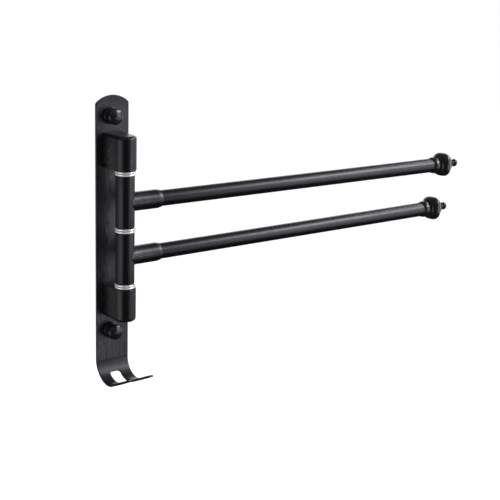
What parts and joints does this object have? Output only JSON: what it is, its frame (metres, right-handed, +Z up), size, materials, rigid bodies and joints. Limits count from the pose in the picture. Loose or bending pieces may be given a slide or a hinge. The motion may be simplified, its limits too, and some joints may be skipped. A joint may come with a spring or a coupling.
{
  "type": "towel rack",
  "caption": "Wall-mounted towel rack: an arched strip plate bent into a double robe hook, with tubular arms that swing on one vertical rod between two brackets.",
  "frame": {"origin": "on the plate's back face, which lies on the wall, midway across it and level with the middle pair of washers", "axes": "+Y into the wall, +Z up, +X to the right along the wall, the side that both arms point to at rest"},
  "size_m": [0.3949, 0.0497, 0.2482],
  "materials": {
    "satin_black": "satin black anodised",
    "gloss_black": "gloss black",
    "bright_metal": "polished",
    "zinc_steel": "zinc plated",
    "nylon": "natural nylon"
  },
  "bodies": {
    "wall_frame": {"mounting_plate": "satin_black", "upper_bracket": "satin_black", "lower_bracket": "satin_black", "bracket_screw_1": "zinc_steel", "bracket_screw_2": "zinc_steel", "bracket_screw_3": "zinc_steel", "bracket_screw_4": "zinc_steel", "pivot_rod": "zinc_steel", "upper_bracket_washer": "bright_metal", "lower_bracket_washer": "bright_metal", "upper_cap_base": "gloss_black", "upper_screw_cap": "gloss_black", "lower_cap_base": "gloss_black", "lower_screw_cap": "gloss_black"},
    "upper_arm": {"upper_sleeve": "satin_black", "upper_sleeve_bush_top": "nylon", "upper_sleeve_bush_bottom": "nylon", "upper_arm_washer_top": "bright_metal", "upper_arm_washer_bottom": "bright_metal", "upper_arm_socket": "satin_black", "upper_arm_tube": "satin_black", "upper_end_ring": "gloss_black", "upper_finial": "gloss_black", "upper_finial_stud": "zinc_steel"},
    "lower_arm": {"lower_sleeve": "satin_black", "lower_sleeve_bush_top": "nylon", "lower_sleeve_bush_bottom": "nylon", "lower_arm_washer_top": "bright_metal", "lower_arm_washer_bottom": "bright_metal", "lower_arm_socket": "satin_black", "lower_arm_tube": "satin_black", "lower_end_ring": "gloss_black", "lower_finial": "gloss_black", "lower_finial_stud": "zinc_steel"}
  },
  "joints": [
    {"name": "upper_arm_swing", "type": "hinge", "parent": "wall_frame", "child": "upper_arm", "pos_m": [0, -0.022, 0.0233], "axis": [0, 0, -1], "range_deg": [-3.6, 178.4]},
    {"name": "lower_arm_swing", "type": "hinge", "parent": "wall_frame", "child": "lower_arm", "pos_m": [0, -0.022, -0.0233], "axis": [0, 0, -1], "range_deg": [-2, 180]}
  ]
}
